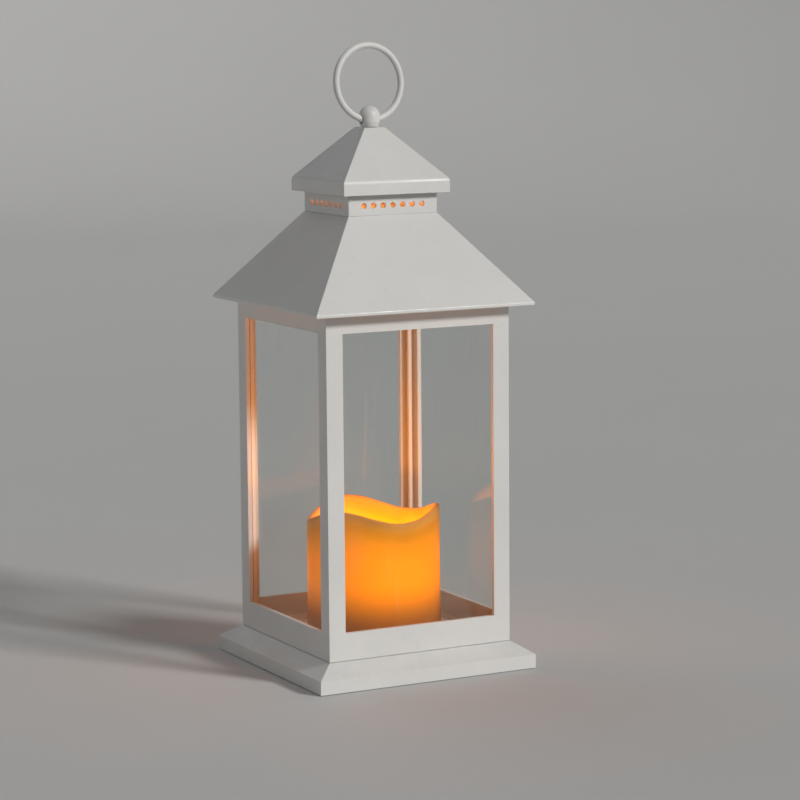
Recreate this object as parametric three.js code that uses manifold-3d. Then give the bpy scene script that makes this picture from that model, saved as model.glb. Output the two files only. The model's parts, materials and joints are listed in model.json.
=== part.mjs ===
// Candle lantern: a square plastic lantern with clear panes, a two-tier roof, a hanging ring and a
// battery candle. Millimetres, +Z up. The origin is the middle of the footprint, on the surface that
// the feet stand on. The front is the -Y side. Every upright piece has a square plan, so most sizes
// are half widths, measured from the middle to a flat side.

import * as THREE from 'three';
import { mergeVertices } from 'three/addons/utils/BufferGeometryUtils.js';
import Module from 'manifold-3d';

const wasm = await Module();
wasm.setup();

// ---- Driving dimensions ------------------------------------------------------------------------

const GAP = 0.3; // left between pieces that touch

const PLINTH = { half: 70, bottom: 0.5, sideTop: 8.5, topHalf: 59.1, top: 15.7, wall: 2.4, plate: 2.2 };
const BODY = { half: 58.8, wall: 2.5, bottom: PLINTH.top + GAP, top: 219 };
const WINDOW = { half: 48.5, bottom: 31.8, top: 202.9 };
const PANE = { half: 53.7, thickness: 1.6, bottom: 19.3, top: 212.3 };
const ROOF = { half: 69.9, bottom: 213.6, lip: 1.7, topHalf: 28.8, top: 265.9, depth: 3.5 };
const COLLAR = { half: 28.6, wall: 2.2, bottom: ROOF.top + GAP, top: 281, plate: 2 };
const SPIGOT = { wall: 1.8, depth: 5, ledge: 1.8 };
const VENT = { count: 7, pitch: 6.25, radius: 1.7, height: 271.6, sides: 12 };
const CAP = { half: 34.3, bottom: 277.9, shoulder: 285.6, round: 4, topHalf: 6.55, top: 315, wall: 2.1 };
const KNOB = {
  radius: 6.1, baseRadius: 5, bottom: CAP.top + GAP, waist: 318.2, middle: 321.3, studRadius: 2.5, stud: 10,
};
const NUT = { radius: 4.4, height: 3 };
const RING = { radius: 21.6, wire: 1.95, boreRadius: 3, pivot: 319.6, lean: 4, tilt: 1.5, turn: 3.2 };
const CANDLE = {
  baseRadius: 39.8, topRadius: 39.3, top: 89.3, lip: 2, wave: 4, waves: 3, lift: 2.3, liftAt: -100,
};
const CAVITY = { floorRadius: 33.2, floor: 56, diaphragm: 3.5, hollowRadius: 35, lampHole: 3.6 };
const LAMP = { radius: 2.5, length: 6.2, flangeRadius: 2.9, flange: 1, legAt: 1.27, leg: 0.25 };
const LAMP_POST = { inside: 2.2, outside: 3.2, top: CAVITY.floor + 1 };
const CELL = { radius: 7.1, length: 48.4, nubLength: 1, nubRadius: 2.7, offset: 7.4 };
const SPRING = { wire: 0.25, turns: 2.5, wide: 4.4, narrow: 2.2, length: 1.7 };
const CONTACT = { thickness: 0.4, half: 5, plateHalf: 13 };
const BOX = { halfLength: 28.6, halfWidth: 16.8, wall: 1.6, flangeRadius: 34.5, flange: 2 };
const COVER = { half: 66.9, bottom: 2.6, thickness: 1.8 };
const DOOR = { halfLength: 30.7, halfWidth: 18.7, notch: 2, notchHalf: 6 };
const SWITCH = { y: -42, travel: 4, halfLength: 2.5, halfWidth: 1.7, bottom: 1.2, shoe: 3.6, wall: 1.4 };
const FOOT = { x: 46, y: 61, radius: 4.5, height: COVER.bottom - GAP };
const SCREW = { shank: 1.1, head: 2.2, headHeight: 1.3, clearance: 1.6, pilot: 1.35, sides: 10 };
const BOSS = 3.2; // the radius of the round posts that take screws

// Places that several pieces share.
const COVER_TOP = COVER.bottom + COVER.thickness;
const CORNERS = [[1, 1], [-1, 1], [-1, -1], [1, -1]];
const BASE_SCREW_AT = 55.9;
const ROOF_SCREW_AT = 50.2;
const CAP_SCREW_AT = 17;
const BOX_SCREW_AT = 25;
const BOX_BOTTOM = COVER_TOP + GAP;
const CELL_HEIGHT = BOX_BOTTOM + GAP + CELL.radius;
const BOX_TOP = CELL_HEIGHT + CELL.radius + GAP + BOX.wall;
const BOARD = { halfLength: 15, halfWidth: 11, bottom: BOX_TOP + 3, thickness: 1.6 };
const BOARD_TOP = BOARD.bottom + BOARD.thickness;
const LAMP_BOTTOM = LAMP_POST.top + GAP;

// ---- Materials ---------------------------------------------------------------------------------

const material = (color, roughness, metalness = 0) =>
  new THREE.MeshStandardMaterial({ color, roughness, metalness });

const whitePlastic = material('#e9e7e1', 0.42);
const darkPlastic = material('#2a2a2c', 0.6);
const rubber = material('#4a4a4a', 0.9);
const wax = material('#ff9a18', 0.55);
const steel = material('#b9bcc0', 0.35, 1);
const sleeve = material('#3c5a46', 0.4);
const circuitGreen = material('#1f5c3a', 0.5);
const amber = material('#ffb030', 0.15);
const clear = new THREE.MeshStandardMaterial({
  color: '#f4f7f6', roughness: 0.05, transparent: true, opacity: 0.25,
});

// ---- Shapes ------------------------------------------------------------------------------------

// Drops everything but the positions and joins the vertices that share a place.
function closed(geometry) {
  const bare = geometry.index ? geometry.toNonIndexed() : geometry.clone();
  bare.deleteAttribute('normal');
  bare.deleteAttribute('uv');
  return mergeVertices(bare, 1e-4);
}

function toSolid(geometry) {
  const bare = closed(geometry);
  return new wasm.Manifold(new wasm.Mesh({
    numProp: 3,
    vertProperties: new Float32Array(bare.attributes.position.array),
    triVerts: new Uint32Array(bare.index.array),
  }));
}

function toGeometry(solid) {
  const mesh = solid.getMesh();
  const geometry = new THREE.BufferGeometry();
  geometry.setAttribute('position', new THREE.BufferAttribute(mesh.vertProperties, 3));
  geometry.setIndex(new THREE.BufferAttribute(mesh.triVerts, 1));
  return geometry;
}

const join = (first, ...others) =>
  toGeometry(others.reduce((solid, other) => solid.add(toSolid(other)), toSolid(first)));
const cut = (first, ...tools) =>
  toGeometry(tools.reduce((solid, tool) => solid.subtract(toSolid(tool)), toSolid(first)));
const common = (first, second) => toGeometry(toSolid(first).intersect(toSolid(second)));

// An outline of [distance from the axis, height] turned about the upright axis.
function turned(outline, sides) {
  const points = outline.map(([radius, height]) => new THREE.Vector2(radius, height));
  return new THREE.LatheGeometry(points, sides).rotateX(Math.PI / 2);
}

// The same with a square plan: the outline gives half widths, and the turning has four sides.
function squared(outline) {
  const points = outline.map(([half, height]) => new THREE.Vector2(half * Math.SQRT2, height));
  return new THREE.LatheGeometry(points, 4, Math.PI / 4).rotateX(Math.PI / 2);
}

function block([x0, x1], [y0, y1], [z0, z1]) {
  return new THREE.BoxGeometry(x1 - x0, y1 - y0, z1 - z0)
    .translate((x0 + x1) / 2, (y0 + y1) / 2, (z0 + z1) / 2);
}

// An upright post from one height to another.
function post(radius, bottom, top, x = 0, y = 0, sides = 16) {
  return new THREE.CylinderGeometry(radius, radius, top - bottom, sides)
    .rotateX(Math.PI / 2)
    .translate(x, y, (bottom + top) / 2);
}

// Points along an arc in an outline, both ends included.
function arc(centreX, centreY, radius, fromDegrees, toDegrees, steps) {
  return Array.from({ length: steps + 1 }, (_, i) => {
    const angle = THREE.MathUtils.degToRad(fromDegrees + (toDegrees - fromDegrees) * i / steps);
    return [centreX + radius * Math.cos(angle), centreY + radius * Math.sin(angle)];
  });
}

const lantern = new THREE.Group();
lantern.name = 'candle_lantern';

function add(name, geometry, finish, parent = lantern) {
  const mesh = new THREE.Mesh(closed(geometry), finish);
  mesh.name = name;
  parent.add(mesh);
  return mesh;
}

// ---- Plinth ------------------------------------------------------------------------------------

function makePlinth() {
  const { half, bottom, sideTop, topHalf, top, wall, plate } = PLINTH;
  const inside = half - wall;
  const underside = top - plate;
  const slope = (top - sideTop) / (half - topHalf);
  const insideTopHalf = topHalf - wall / 4;
  const insideSideTop = underside - (inside - insideTopHalf) * slope;
  const shell = squared([
    [0, underside], [insideTopHalf, underside], [inside, insideSideTop], [inside, bottom],
    [half, bottom], [half, sideTop], [topHalf, top], [0, top],
  ]);
  const towers = CORNERS.map(([x, y]) =>
    post(BOSS, COVER_TOP + GAP, top - 1, x * BASE_SCREW_AT, y * BASE_SCREW_AT, SCREW.sides));
  const bosses = [1, -1].map((side) =>
    post(BOSS, underside - 6, top - 1, 0, side * BOX_SCREW_AT, SCREW.sides));
  const towerHoles = CORNERS.map(([x, y]) =>
    post(SCREW.clearance, 0, top + 1, x * BASE_SCREW_AT, y * BASE_SCREW_AT, SCREW.sides));
  const bossHoles = [1, -1].map((side) =>
    post(SCREW.pilot, 0, top + 1, 0, side * BOX_SCREW_AT, SCREW.sides));
  const boxHole = block(
    [-BOX.halfLength - GAP, BOX.halfLength + GAP],
    [-BOX.halfWidth - GAP, BOX.halfWidth + GAP],
    [underside - 1, top + 1],
  );
  add('plinth', cut(join(shell, ...towers, ...bosses), ...towerHoles, ...bossHoles, boxHole), whitePlastic);
}

// ---- Body and panes ----------------------------------------------------------------------------

const SLOT_OUTSIDE = BODY.half - BODY.wall; // the walls' inner faces
const SLOT_INSIDE = SLOT_OUTSIDE - PANE.thickness - 2 * GAP; // the ribs' outer faces
const RIB = 2;
const BODY_BOSS_BOTTOM = WINDOW.top + 2.1;

// A square rib stands inside each corner, and a pane's edge slides in behind it on either side.
function cornerRib([x, y]) {
  const ribInside = SLOT_INSIDE - RIB;
  const inWall = BODY.half - 1;
  const square = (from, to, bottom, top) =>
    block([from, to].map((v) => v * x).sort((a, b) => a - b),
      [from, to].map((v) => v * y).sort((a, b) => a - b), [bottom, top]);
  return [
    square(ribInside, SLOT_INSIDE + 0.1, BODY.bottom, PANE.top + 1),
    square(SLOT_INSIDE, inWall, BODY.bottom, PANE.top + 1),
    square(ribInside, inWall, BODY.bottom, PANE.bottom - GAP),
    post(BOSS, BODY_BOSS_BOTTOM, ROOF.bottom - GAP, x * ROOF_SCREW_AT, y * ROOF_SCREW_AT, SCREW.sides),
  ];
}

function makeBody() {
  const walls = squared([
    [SLOT_OUTSIDE, BODY.bottom], [BODY.half, BODY.bottom],
    [BODY.half, BODY.top], [SLOT_OUTSIDE, BODY.top], [SLOT_OUTSIDE, BODY.bottom],
  ]);
  const across = [-BODY.half - 1, BODY.half + 1];
  const open = [-WINDOW.half, WINDOW.half];
  const tall = [WINDOW.bottom, WINDOW.top];
  const windows = [block(open, across, tall), block(across, open, tall)];
  const holes = CORNERS.flatMap(([x, y]) => [
    post(SCREW.pilot, 0, BODY.bottom + 12, x * BASE_SCREW_AT, y * BASE_SCREW_AT, SCREW.sides),
    post(SCREW.clearance, BODY_BOSS_BOTTOM - 1, ROOF.bottom, x * ROOF_SCREW_AT, y * ROOF_SCREW_AT,
      SCREW.sides),
  ]);
  const frame = cut(walls, ...windows);
  add('lantern_body', cut(join(frame, ...CORNERS.flatMap(cornerRib)), ...holes), whitePlastic);
}

function makePanes() {
  const middle = (SLOT_OUTSIDE + SLOT_INSIDE) / 2;
  const names = ['pane_right', 'pane_back', 'pane_left', 'pane_front'];
  names.forEach((name, quarter) => {
    const pane = block(
      [middle - PANE.thickness / 2, middle + PANE.thickness / 2],
      [-PANE.half, PANE.half], [PANE.bottom, PANE.top],
    );
    add(name, pane, clear).rotation.z = quarter * Math.PI / 2;
  });
}

// ---- Roof, collar and cap ----------------------------------------------------------------------

// The roof is a shell of even depth under four flat slopes, open at the top for the collar's spigot.
function makeRoof() {
  const { half, bottom, lip, topHalf, top, depth } = ROOF;
  const slopeBottom = bottom + lip;
  const opening = COLLAR.half - COLLAR.wall;
  const eaveInside = half - 2;
  const slopeInside = half - 3;
  const outer = [[half, bottom], [half, slopeBottom], [topHalf, top]];
  const shell = squared([
    [eaveInside, bottom], ...outer, [opening, top], [opening, top - depth], [topHalf, top - depth],
    [slopeInside, slopeBottom - depth + (half - slopeInside) * (top - slopeBottom) / (half - topHalf)],
    [eaveInside, bottom],
  ]);
  const filled = squared([[0, bottom], ...outer, [0, top]]);
  const bosses = CORNERS.map(([x, y]) =>
    common(post(BOSS, bottom, top, x * ROOF_SCREW_AT, y * ROOF_SCREW_AT, SCREW.sides), filled));
  const holes = CORNERS.map(([x, y]) =>
    post(SCREW.pilot, 0, bottom + 12, x * ROOF_SCREW_AT, y * ROOF_SCREW_AT, SCREW.sides));
  add('roof', cut(join(shell, ...bosses), ...holes), whitePlastic);
}

// The collar stands on the roof, and its spigot reaches down through the roof's opening.
function makeVentCollar() {
  const { half, wall, bottom, top, plate } = COLLAR;
  const spigotOutside = half - wall - GAP;
  const spigotInside = spigotOutside - SPIGOT.wall;
  const shell = squared([
    [0, top - plate], [half - wall, top - plate], [half - wall, bottom + SPIGOT.ledge],
    [spigotInside, bottom + SPIGOT.ledge], [spigotInside, bottom - SPIGOT.depth],
    [spigotOutside, bottom - SPIGOT.depth], [spigotOutside, bottom], [half, bottom], [half, top], [0, top],
  ]);
  const vents = Array.from({ length: VENT.count }, (_, i) => {
    const along = (i - (VENT.count - 1) / 2) * VENT.pitch;
    const drill = new THREE.CylinderGeometry(VENT.radius, VENT.radius, 2 * half + 2, VENT.sides);
    return [
      drill.clone().translate(along, 0, VENT.height),
      drill.clone().rotateZ(Math.PI / 2).translate(0, along, VENT.height),
    ];
  }).flat();
  const screwHoles = [1, -1].map((side) =>
    post(SCREW.clearance, bottom, top + 1, side * CAP_SCREW_AT, 0, SCREW.sides));
  add('vent_collar', cut(shell, ...vents, ...screwHoles), whitePlastic);
}

function makeCap() {
  const { half, bottom, shoulder, round, topHalf, top, wall } = CAP;
  const slopeAngle = Math.atan2(top - shoulder, half - topHalf);
  const tangent = round * Math.tan((Math.PI / 2 - slopeAngle) / 2);
  const shoulderArc = arc(half - round, shoulder - tangent, round, 0,
    90 - THREE.MathUtils.radToDeg(slopeAngle), 4);
  const chamfer = 0.4;
  const outer = [
    [half, bottom], ...shoulderArc, [topHalf + chamfer, top - chamfer], [topHalf - chamfer, top], [0, top],
  ];
  const slopeDrop = wall / Math.cos(slopeAngle);
  const insideTopHalf = topHalf - (slopeDrop - wall) / Math.tan(slopeAngle);
  const insideHalf = half - wall;
  const insideShoulder = top - wall - (insideHalf - insideTopHalf) * Math.tan(slopeAngle);
  const shell = squared([
    [0, top - wall], [insideTopHalf, top - wall], [insideHalf, insideShoulder], [insideHalf, bottom],
    ...outer,
  ]);
  const filled = squared([[0, bottom], ...outer]);
  const bosses = [1, -1].map((side) =>
    common(post(BOSS, COLLAR.top + GAP, top, side * CAP_SCREW_AT, 0, SCREW.sides), filled));
  const holes = [1, -1].map((side) =>
    post(SCREW.pilot, bottom, COLLAR.top + 14, side * CAP_SCREW_AT, 0, SCREW.sides));
  const studHole = post(KNOB.studRadius + GAP, top - 5, top + 1);
  add('cap', cut(join(shell, ...bosses), ...holes, studHole), whitePlastic);
}

// ---- Knob and ring -----------------------------------------------------------------------------

function makeKnob() {
  const studBottom = CAP.top - KNOB.stud;
  const ball = turned([
    [0, studBottom], [KNOB.studRadius, studBottom], [KNOB.studRadius, KNOB.bottom],
    [KNOB.baseRadius, KNOB.bottom], [KNOB.radius, KNOB.waist], ...arc(0, KNOB.middle, KNOB.radius, 0, 90, 6),
  ].map(([radius, height], i, all) => [i === all.length - 1 ? 0 : radius, height]), 20);
  const bore = new THREE.CylinderGeometry(RING.boreRadius, RING.boreRadius, 4 * KNOB.radius, 16)
    .rotateZ(Math.PI / 2)
    .translate(0, 0, RING.pivot);
  add('knob', cut(ball, bore), whitePlastic);

  const nutTop = CAP.top - CAP.wall - GAP;
  const nut = cut(
    post(NUT.radius, nutTop - NUT.height, nutTop, 0, 0, 6),
    post(KNOB.studRadius + GAP, nutTop - NUT.height - 1, nutTop + 1),
  );
  add('knob_nut', nut, steel);
}

// The ring's wire bends as it passes through the straight bore, so the swing axis lies halfway
// between the wire's lowest point and where it leaves the knob. The bore's clearance lets the ring
// stand a little askew: it tilts to the right, and turns about the upright axis.
function makeRing() {
  const bend = RING.radius - Math.sqrt(RING.radius ** 2 - KNOB.radius ** 2);
  const hoop = new THREE.TorusGeometry(RING.radius, RING.wire, 10, 48)
    .rotateX(Math.PI / 2)
    .translate(0, 0, RING.radius - bend / 2);
  const joint = block([-GAP / 2, GAP / 2], [-3, 3], [-4, 4]);
  const ring = add('ring', cut(hoop, joint), whitePlastic);
  ring.position.z = RING.pivot;
  const [lean, tilt, turn] = [RING.lean, RING.tilt, RING.turn].map(THREE.MathUtils.degToRad);
  ring.rotation.set(-lean, tilt, turn, 'ZXY');
}

// ---- Candle ------------------------------------------------------------------------------------

// The rim rises and falls in even waves, as if it had melted, and stands a little higher at the
// front. Both fade out down the cavity.
function makeCandleShell() {
  const { baseRadius, topRadius, top, lip } = CANDLE;
  const bottom = PLINTH.top + GAP;
  const lipMiddle = topRadius - lip;
  const underside = CAVITY.floor - CAVITY.diaphragm;
  const geometry = turned([
    [CAVITY.hollowRadius, bottom], [baseRadius, bottom], [topRadius, top - 12],
    ...arc(lipMiddle, top - lip, lip, 0, 180, 5),
    [CAVITY.floorRadius, CAVITY.floor + 2], [CAVITY.floorRadius - 2, CAVITY.floor],
    [CAVITY.lampHole, CAVITY.floor], [CAVITY.lampHole, underside], [CAVITY.hollowRadius, underside],
    [CAVITY.hollowRadius, bottom],
  ], 48);
  const place = geometry.attributes.position;
  const fadeFrom = CAVITY.floor + 4;
  const liftAt = THREE.MathUtils.degToRad(CANDLE.liftAt);
  for (let i = 0; i < place.count; i += 1) {
    const angle = Math.atan2(place.getY(i), place.getX(i));
    const share = THREE.MathUtils.smoothstep(place.getZ(i), fadeFrom, top - lip);
    const lift = CANDLE.lift * Math.max(0, Math.cos(angle - liftAt)) ** 2;
    place.setZ(i, place.getZ(i) + share * (lift - CANDLE.wave * Math.sin(CANDLE.waves * angle)));
  }
  add('candle_shell', geometry, wax);
}

// A round-topped lamp on two legs, which pass down a hollow post to the circuit board.
function makeLamp() {
  const { radius, length, flangeRadius, flange, legAt, leg } = LAMP;
  const legBottom = BOARD_TOP + GAP;
  const domeTop = LAMP_BOTTOM + length;
  const dome = turned([
    [0, LAMP_BOTTOM + flange / 2], [radius, LAMP_BOTTOM + flange / 2],
    ...arc(0, domeTop, radius, 0, 72, 3), [0, domeTop + radius],
  ], 16);
  const legs = [1, -1].map((side) =>
    block([side * legAt - leg, side * legAt + leg], [-leg, leg], [legBottom, LAMP_BOTTOM + flange / 2]));
  add('led', join(post(flangeRadius, LAMP_BOTTOM, LAMP_BOTTOM + flange), dome, ...legs), amber);

  const { inside, outside, top } = LAMP_POST;
  const tube = turned([
    [inside, legBottom], [outside, legBottom], [outside, top], [inside, top], [inside, legBottom],
  ], 16);
  add('led_post', tube, whitePlastic);
}

function makeCircuitBoard() {
  const { halfLength, halfWidth, bottom } = BOARD;
  const sunk = BOARD_TOP - 0.1; // parts on the board start just inside it, so that they join it
  const plate = block([-halfLength, halfLength], [-halfWidth, halfWidth], [bottom, BOARD_TOP]);
  const chip = block([6, 11], [-2, 2], [sunk, BOARD_TOP + 1.5]);
  const resistor = block([-11, -8], [-5, -3.4], [sunk, BOARD_TOP + 0.6]);
  const capacitor = post(2.5, sunk, BOARD_TOP + 5, -9.5, 5, 12);
  add('circuit_board', join(plate, chip, resistor, capacitor), circuitGreen);
}

// ---- Battery box, cells and contacts -----------------------------------------------------------

function makeBatteryBox() {
  const { halfLength, halfWidth, wall, flangeRadius, flange } = BOX;
  const flangeBottom = PLINTH.top + GAP;
  const outside = block([-halfLength, halfLength], [-halfWidth, halfWidth], [BOX_BOTTOM, BOX_TOP]);
  const disc = post(flangeRadius, flangeBottom, flangeBottom + flange, 0, 0, 48);
  const standoffs = [1, -1].map((side) =>
    block([side * 12 - 1, side * 12 + 1], [-9, 9], [BOX_TOP - 0.5, BOARD.bottom - GAP]));
  const inside = block([wall - halfLength, halfLength - wall], [wall - halfWidth, halfWidth - wall],
    [0, BOX_TOP - wall]);
  const holes = [1, -1].map((side) =>
    post(SCREW.clearance, 0, flangeBottom + 5, 0, side * BOX_SCREW_AT, SCREW.sides));
  add('battery_box', cut(join(outside, disc, ...standoffs), inside, ...holes), darkPlastic);
}

// The two cells lie side by side and point opposite ways.
function makeCell(name, direction) {
  const { radius, length, nubLength, nubRadius, offset } = CELL;
  const end = BOX.halfLength - BOX.wall - 1;
  const canEnd = end - nubLength;
  const start = canEnd - length;
  const round = 0.6;
  const outline = [
    [0, start], [radius - round, start], [radius, start + round],
    [radius, canEnd - round], [radius - round, canEnd], [nubRadius, canEnd], [nubRadius, end], [0, end],
  ];
  const cell = add(name, turned(outline, 24), sleeve);
  cell.rotation.y = direction * Math.PI / 2;
  cell.position.set(0, direction * offset, CELL_HEIGHT);
}

// A tapered coil between a contact and the flat end of a cell.
class TaperedCoil extends THREE.Curve {
  getPoint(t, target = new THREE.Vector3()) {
    const angle = 2 * Math.PI * SPRING.turns * t;
    const radius = SPRING.wide + (SPRING.narrow - SPRING.wide) * t;
    return target.set(radius * Math.cos(angle), radius * Math.sin(angle), SPRING.length * t);
  }
}

function makeSpring(name, direction) {
  const section = new THREE.Shape(arc(0, 0, SPRING.wire, 0, 300, 5).map(([x, y]) => new THREE.Vector2(x, y)));
  const coil = new THREE.ExtrudeGeometry(section, {
    steps: 40, bevelEnabled: false, extrudePath: new TaperedCoil(),
  });
  const spring = add(name, coil, steel);
  spring.rotation.y = direction * Math.PI / 2;
  spring.position.set(-direction * (BOX.halfLength - BOX.wall - 1.2), direction * CELL.offset, CELL_HEIGHT);
}

// Thin plates stand against the box's end walls.
function makeContacts() {
  const outside = BOX.halfLength - BOX.wall - GAP;
  const { thickness, half, plateHalf } = CONTACT;
  const inside = outside - thickness;
  const tall = [CELL_HEIGHT - half, CELL_HEIGHT + half];
  add('contact_plate', block([-outside, -inside], [-plateHalf, plateHalf], tall), steel);
  [1, -1].forEach((side, i) => {
    const wide = [side * CELL.offset - half, side * CELL.offset + half];
    add(`contact_terminal_${i + 1}`, block([inside, outside], wide, tall), steel);
  });
}

// ---- Bottom cover, door, switch and feet -------------------------------------------------------

function makeCover() {
  const { half, bottom, thickness } = COVER;
  const through = [bottom - 1, bottom + thickness + 1];
  const plate = block([-half, half], [-half, half], [bottom, bottom + thickness]);
  const doorway = block([-DOOR.halfLength - GAP, DOOR.halfLength + GAP],
    [-DOOR.halfWidth - GAP, DOOR.halfWidth + GAP], through);
  const reach = SWITCH.halfLength + SWITCH.travel / 2 + GAP;
  const slot = block([-reach, reach],
    [SWITCH.y - SWITCH.halfWidth - GAP, SWITCH.y + SWITCH.halfWidth + GAP], through);
  const holes = CORNERS.map(([x, y]) =>
    post(SCREW.clearance, through[0], through[1], x * BASE_SCREW_AT, y * BASE_SCREW_AT, SCREW.sides));
  add('bottom_cover', cut(plate, doorway, slot, ...holes), whitePlastic);
}

function makeDoor() {
  const { halfLength, halfWidth, notch, notchHalf } = DOOR;
  const plate = block([-halfLength, halfLength], [-halfWidth, halfWidth], [COVER.bottom, COVER_TOP]);
  const notchTop = (COVER.bottom + COVER_TOP) / 2;
  const nailNotch = block([halfLength - notch, halfLength + 1], [-notchHalf, notchHalf], [0, notchTop]);
  add('battery_door', cut(plate, nailNotch), whitePlastic);
}

function makeSwitch() {
  const { y, halfLength, halfWidth, travel, wall } = SWITCH;
  const bottom = COVER_TOP + GAP;
  const shoeTop = bottom + SWITCH.shoe;
  const shoeHalfWidth = halfWidth + 1;
  const insideLength = halfLength + travel / 2 + 0.5;
  const insideWidth = shoeHalfWidth + GAP;
  const housing = cut(
    block([-insideLength - wall, insideLength + wall], [y - insideWidth - wall, y + insideWidth + wall],
      [bottom, shoeTop + GAP + wall]),
    block([-insideLength, insideLength], [y - insideWidth, y + insideWidth], [bottom - 1, shoeTop + GAP]),
  );
  add('switch_body', housing, darkPlastic);

  // The shoe is wider than the slot, so it can't drop through the cover.
  const long = [-travel / 2 - halfLength, -travel / 2 + halfLength];
  const shoe = block(long, [y - shoeHalfWidth, y + shoeHalfWidth], [bottom, shoeTop]);
  const thumbPiece = block(long, [y - halfWidth, y + halfWidth], [SWITCH.bottom, bottom + 1]);
  add('switch_slider', join(shoe, thumbPiece), darkPlastic);
}

function makeFeet() {
  CORNERS.forEach(([x, y], i) => {
    add(`foot_${i + 1}`, post(FOOT.radius, 0, FOOT.height, x * FOOT.x, y * FOOT.y), rubber);
  });
}

// ---- Screws ------------------------------------------------------------------------------------

// A pan-head screw with a cross recess. Its head starts at z = 0 and its shank points up.
function screw(length) {
  const { shank, head, headHeight, sides } = SCREW;
  const turnedScrew = turned([
    [0, 0], [head - 0.5, 0], [head, 0.5], [head, headHeight], [shank, headHeight],
    [shank, headHeight + length - 1.2], [0, headHeight + length],
  ], sides);
  const [longHalf, shortHalf, deep] = [[-1.2, 1.2], [-0.25, 0.25], [-1, 0.7]];
  return cut(turnedScrew, block(longHalf, shortHalf, deep), block(shortHalf, longHalf, deep));
}

// Puts a screw with its head just below the given face, or just above it when it points down.
function addScrew(name, length, x, y, face, pointsDown = false) {
  const mesh = add(name, screw(length), steel);
  const reach = GAP + SCREW.headHeight;
  mesh.position.set(x, y, pointsDown ? face + reach : face - reach);
  mesh.rotation.x = pointsDown ? Math.PI : 0;
}

function makeScrews() {
  const boxFlangeTop = PLINTH.top + GAP + BOX.flange;
  CORNERS.forEach(([x, y], i) => {
    addScrew(`base_screw_${i + 1}`, 25, x * BASE_SCREW_AT, y * BASE_SCREW_AT, COVER.bottom);
    addScrew(`roof_screw_${i + 1}`, 19, x * ROOF_SCREW_AT, y * ROOF_SCREW_AT, BODY_BOSS_BOTTOM);
  });
  [1, -1].forEach((side, i) => {
    addScrew(`cap_screw_${i + 1}`, 15, side * CAP_SCREW_AT, 0, COLLAR.top - COLLAR.plate);
    addScrew(`box_screw_${i + 1}`, 9, 0, side * BOX_SCREW_AT, boxFlangeTop, true);
  });
}

// ---- Assembly ----------------------------------------------------------------------------------

makePlinth();
makeBody();
makePanes();
makeRoof();
makeVentCollar();
makeCap();
makeKnob();
makeRing();
makeCandleShell();
makeLamp();
makeCircuitBoard();
makeBatteryBox();
makeCell('battery_1', 1);
makeCell('battery_2', -1);
makeSpring('contact_spring_1', 1);
makeSpring('contact_spring_2', -1);
makeContacts();
makeCover();
makeDoor();
makeSwitch();
makeFeet();
makeScrews();

export default lantern;
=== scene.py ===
"""Looks for the candle lantern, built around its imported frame.

Lengths in the code below are millimetres unless a name says otherwise; MM turns them into metres.
Z is up, and the front of the lantern faces -Y.
"""

import json
import math

import bmesh
import bpy
from mathutils import Matrix, Vector, noise


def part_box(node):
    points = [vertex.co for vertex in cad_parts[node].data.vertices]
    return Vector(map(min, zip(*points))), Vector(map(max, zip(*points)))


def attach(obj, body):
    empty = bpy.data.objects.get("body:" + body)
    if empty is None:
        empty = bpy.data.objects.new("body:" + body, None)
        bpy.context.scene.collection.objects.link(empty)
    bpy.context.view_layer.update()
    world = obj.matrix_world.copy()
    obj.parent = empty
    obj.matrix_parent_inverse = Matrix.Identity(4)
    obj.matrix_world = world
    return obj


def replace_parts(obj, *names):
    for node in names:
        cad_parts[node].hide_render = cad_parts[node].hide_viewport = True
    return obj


MM = 0.001
HOUSING = "housing"

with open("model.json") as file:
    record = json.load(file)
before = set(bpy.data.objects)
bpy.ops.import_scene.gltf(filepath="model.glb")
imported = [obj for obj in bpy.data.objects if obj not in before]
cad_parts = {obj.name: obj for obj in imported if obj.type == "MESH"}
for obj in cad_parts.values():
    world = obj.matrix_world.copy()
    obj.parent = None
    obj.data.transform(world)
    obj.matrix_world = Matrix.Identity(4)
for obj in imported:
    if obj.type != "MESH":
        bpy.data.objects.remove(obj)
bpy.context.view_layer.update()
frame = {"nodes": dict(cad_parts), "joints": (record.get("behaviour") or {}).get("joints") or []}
nodes = frame["nodes"]
joints = {joint["name"]: joint for joint in frame["joints"]}


# ---- Material building ---------------------------------------------------------------------------


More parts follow.
